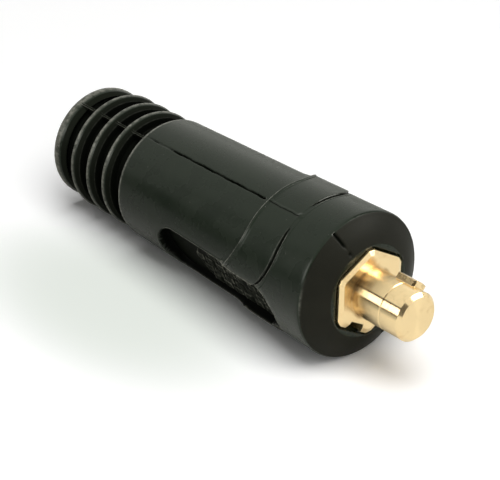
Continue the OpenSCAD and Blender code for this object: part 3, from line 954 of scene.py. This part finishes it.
# Painted shade at the root, and brown patches on the lug.
root_shade_and_lug_patches = math_node(tree, "MAXIMUM", math_node(tree, "MULTIPLY", at_root, root_patches),
                   math_node(tree, "MULTIPLY", on_lug, lug_patches))
clean = shader.inputs["Base Color"].links[0].from_socket
tree.links.new(mix_colour(tree, root_shade_and_lug_patches, clean, ROOT_SHADE_AND_LUG_COLOUR), shader.inputs["Base Color"])
print("brass nodes:", len(tree.nodes))

# %% [markdown]
# ## The floor
# The plug lies on plain white, with a painted shadow that greys it beside the plug. The
# camera sees that colour, while metal and rubber mirror a softer one, with painted shade
# that darkens it under the cable end: a Light Path node tells the two apart. The floor
# is clear from below, so that views from behind it stay open. The painted shadow could
# be a lamp's real shadow, but that lamp would darken the plug too.

# %% Painted shadow beside the plug
SHADE_MID, SHADE_REACH, SHADE_POWER = (0.050, -0.034), (0.068, 0.038), 1.4


def beside_plug(tree, split):
    """The mask of a painted shadow: 1 at a spot beside the plug, fading out round it."""
    across = math_node(tree, "ADD",
                       math_node(tree, "MULTIPLY", split.outputs["X"], ACROSS.x),
                       math_node(tree, "MULTIPLY", split.outputs["Y"], ACROSS.y))
    away = 0.0
    for place, mid, reach in zip((split.outputs["Z"], across), SHADE_MID, SHADE_REACH):
        off = math_node(tree, "DIVIDE", math_node(tree, "SUBTRACT", place, mid), reach)
        away = math_node(tree, "MULTIPLY_ADD", off, off, away)
    return math_node(tree, "POWER", spread(tree, away, 1.0, 0.0), SHADE_POWER)


print("middle of the shade, along and across in mm:", [1000 * v for v in SHADE_MID])

# %% Paper white, painted shadow and painted shade in mirrors
FLOOR_WHITE, SHADE_COLOUR = 1.12, (0.79, 0.83, 0.78)
ROOM_COLOUR = (1.0, 1.0, 0.93)
MIRROR_Z, MIRROR_LEVEL = (0.02, 0.09), (0.55, 0.95)


def floor_material():
    """White from above with a painted shadow beside the plug, clear from below."""
    material, tree, shader, place = new_material("studio_white")
    seen = tree.nodes.new("ShaderNodeLightPath").outputs["Is Camera Ray"]
    split = tree.nodes.new("ShaderNodeSeparateXYZ")
    tree.links.new(place, split.inputs[0])
    # Painted shade in what metal and rubber mirror: darker towards the cable end.
    mirrored = spread(tree, split.outputs["Z"], *MIRROR_Z, *MIRROR_LEVEL)
    mirrored = mix_colour(tree, mirrored, (0.0, 0.0, 0.0), ROOM_COLOUR)
    # Paper white with the painted shadow beside the plug, as the camera sees it.
    paper_and_shadow = mix_colour(tree, beside_plug(tree, split), (FLOOR_WHITE,) * 3, SHADE_COLOUR)
    tree.links.new(mix_colour(tree, seen, mirrored, paper_and_shadow), shader.inputs["Base Color"])
    shader.inputs["Roughness"].default_value = 0.9
    shader.inputs["Specular IOR Level"].default_value = 0.1
    clear = tree.nodes.new("ShaderNodeBsdfTransparent")
    mix = tree.nodes.new("ShaderNodeMixShader")
    below = tree.nodes.new("ShaderNodeNewGeometry").outputs["Backfacing"]
    tree.links.new(below, mix.inputs["Fac"])
    tree.links.new(shader.outputs[0], mix.inputs[1])
    tree.links.new(clear.outputs[0], mix.inputs[2])
    tree.links.new(mix.outputs[0], tree.nodes["Material Output"].inputs["Surface"])
    return material


paper_white = floor_material()
print("floor nodes:", len(paper_white.node_tree.nodes))

# %% [markdown]
# ## The floor's place
# The sleeve is thicker in front than at its ribs, so the floor is tilted to the plug:
# it follows a line from just below the first rib to the front edge. It could be set by
# eye, but a plane that cuts into the sleeve shows from below, so it is lowered until
# it is just clear of the lowest point of the mesh.

# %% White floor
REST_REAR, REST_FRONT = (11.8, RIB_R + 0.35), (107.6, FRONT_R)
FLOOR_GAP, FLOOR_HALF = 0.00003, 3.0
tilt = math.atan((REST_FRONT[1] - REST_REAR[1]) / (REST_FRONT[0] - REST_REAR[0]))
floor_up = math.cos(tilt) * UP + math.sin(tilt) * ALONG
floor_right = floor_up.cross(ALONG).normalized()
floor_along = floor_up.cross(floor_right)
lowest = float((points @ np.array(floor_up)).min()) * MM
under_plug = (lowest - FLOOR_GAP) * floor_up
corners = [under_plug + FLOOR_HALF * (s * floor_right + t * floor_along)
           for s, t in ((-1, -1), (1, -1), (1, 1), (-1, 1))]
floor_mesh = bpy.data.meshes.new("floor")
floor_mesh.from_pydata([tuple(c) for c in corners], [], [(0, 1, 2, 3)])
if (corners[1] - corners[0]).cross(corners[2] - corners[1]).dot(floor_up) < 0:
    floor_mesh.flip_normals()
floor_mesh.materials.append(paper_white)
floor = bpy.data.objects.new("floor", floor_mesh)
bpy.context.scene.collection.objects.link(floor)
print("floor tilt in degrees:", round(math.degrees(tilt), 2),
      "lowest point in mm:", round(1000 * lowest, 3))

# %% [markdown]
# ## The room
# The room round the plug is white. The camera sees it pure white, and metal and
# rubber mirror it slightly yellowish, as in the photograph. As a light it is low,
# because light from all sides would wash out the shading that the lamps give. Walls
# would do the same, but a world needs no mesh.

# %% World
WORLD_LIGHT = 0.06
world = bpy.data.worlds.new("white_studio")
bpy.context.scene.world = world
world.use_nodes = True
tree = world.node_tree
background = tree.nodes["Background"]
paths = tree.nodes.new("ShaderNodeLightPath")
room = mix_colour(tree, paths.outputs["Is Camera Ray"], ROOM_COLOUR, (1.0, 1.0, 1.0))
tree.links.new(room, background.inputs["Color"])
seen = math_node(tree, "MAXIMUM", paths.outputs["Is Camera Ray"],
                 paths.outputs["Is Glossy Ray"])
seen = math_node(tree, "MAXIMUM", seen, paths.outputs["Is Transmission Ray"])
tree.links.new(math_node(tree, "MULTIPLY_ADD", seen, 1.0 - WORLD_LIGHT, WORLD_LIGHT),
               background.inputs["Strength"])
bpy.context.scene.view_settings.view_transform = "Standard"
print("world light:", WORLD_LIGHT)

# %% [markdown]
# ## Lamps and cards
# A photographer lights shiny and matt things at once by what each can see. One large
# softbox overhead and two weak fills are seen by matt surfaces only: they give the
# soft light and the shadow. Two strips are seen in mirrors only: they draw the bright
# lines on the brass and the sheen on the rubber, and their black cloth frames give
# those lines an edge. Two more black cards keep parts of the brass and rubber dark.

# %% Black cards
PLUG_MIDDLE = 0.08


def face_plug(thing, towards, distance, slide):
    """Places a lamp or card beside the plug, facing it, slid along the axis."""
    direction = studio(*towards).normalized()
    thing.location = studio(PLUG_MIDDLE + slide, 0, 0) + distance * direction
    thing.rotation_euler = direction.to_track_quat("Z", "Y").to_euler()


def black_card():
    """The black cloth of a softbox's frame."""
    material = bpy.data.materials.new("softbox_cloth")
    material.use_nodes = True
    shader = material.node_tree.nodes["Principled BSDF"]
    shader.inputs["Base Color"].default_value = (0.06, 0.05, 0.04, 1)
    shader.inputs["Specular IOR Level"].default_value = 0.0
    return material


CLOTH = black_card()


def mirror_card(name, towards, distance, width, length, slide=0.0, behind=0.0):
    """A black card that only shiny surfaces see."""
    w, h = width / 2, length / 2
    mesh = bpy.data.meshes.new(name)
    mesh.from_pydata([(-w, -h, behind), (w, -h, behind), (w, h, behind), (-w, h, behind)],
                     [], [(0, 1, 2, 3)])
    mesh.materials.append(CLOTH)
    card = bpy.data.objects.new(name, mesh)
    face_plug(card, towards, distance, slide)
    for ray in ("camera", "diffuse", "shadow", "transmission"):
        setattr(card, "visible_" + ray, False)
    bpy.context.scene.collection.objects.link(card)


print("cloth of the cards:", CLOTH.name)

# %% Softboxes
FRAME_SPARE, FRAME_BEHIND = 0.7, 0.01


def softbox(name, towards, distance, width, length, brightness, seen_in, slide=0.0,
            border=0.0):
    """An area lamp that faces the plug; brightness is what a mirror shows."""
    data = bpy.data.lights.new(name, "AREA")
    data.shape, data.size, data.size_y = "RECTANGLE", width, length
    data.energy = brightness * math.pi * width * length
    data.color = ROOM_COLOUR if seen_in == "mirrors" else (1.0, 1.0, 1.0)
    lamp = bpy.data.objects.new(name, data)
    face_plug(lamp, towards, distance, slide)
    lamp.visible_camera = False
    lamp.visible_diffuse, lamp.visible_glossy = seen_in != "mirrors", seen_in != "matt"
    bpy.context.scene.collection.objects.link(lamp)
    if border:
        mirror_card(name + "_frame", towards, distance, width + 2 * border,
                    length + FRAME_SPARE, slide, FRAME_BEHIND)


softbox("overhead_softbox", (0.33, 0.94, -0.08), 1.5, 1.2, 1.7, 4.1, "matt")
softbox("front_fill", (0.85, 0.40, -0.35), 1.0, 0.6, 0.6, 1.8, "matt")
softbox("rear_fill", (-0.80, 0.35, -0.50), 1.0, 0.6, 0.6, 0.6, "matt")
softbox("left_strip", (0, 0.40, -0.917), 0.75, 0.36, 0.65, 5.0, "mirrors",
        slide=-0.195, border=0.12)
softbox("front_right_strip", (0, 0.70, 0.71), 0.75, 0.60, 0.9, 9.0, "mirrors",
        slide=0.65, border=0.06)
mirror_card("front_card", (0.75, 0.45, -0.50), 0.9, 0.7, 0.7)
mirror_card("left_card", (0, 0.08, -1), 0.13, 0.06, 0.115, slide=-0.1425)
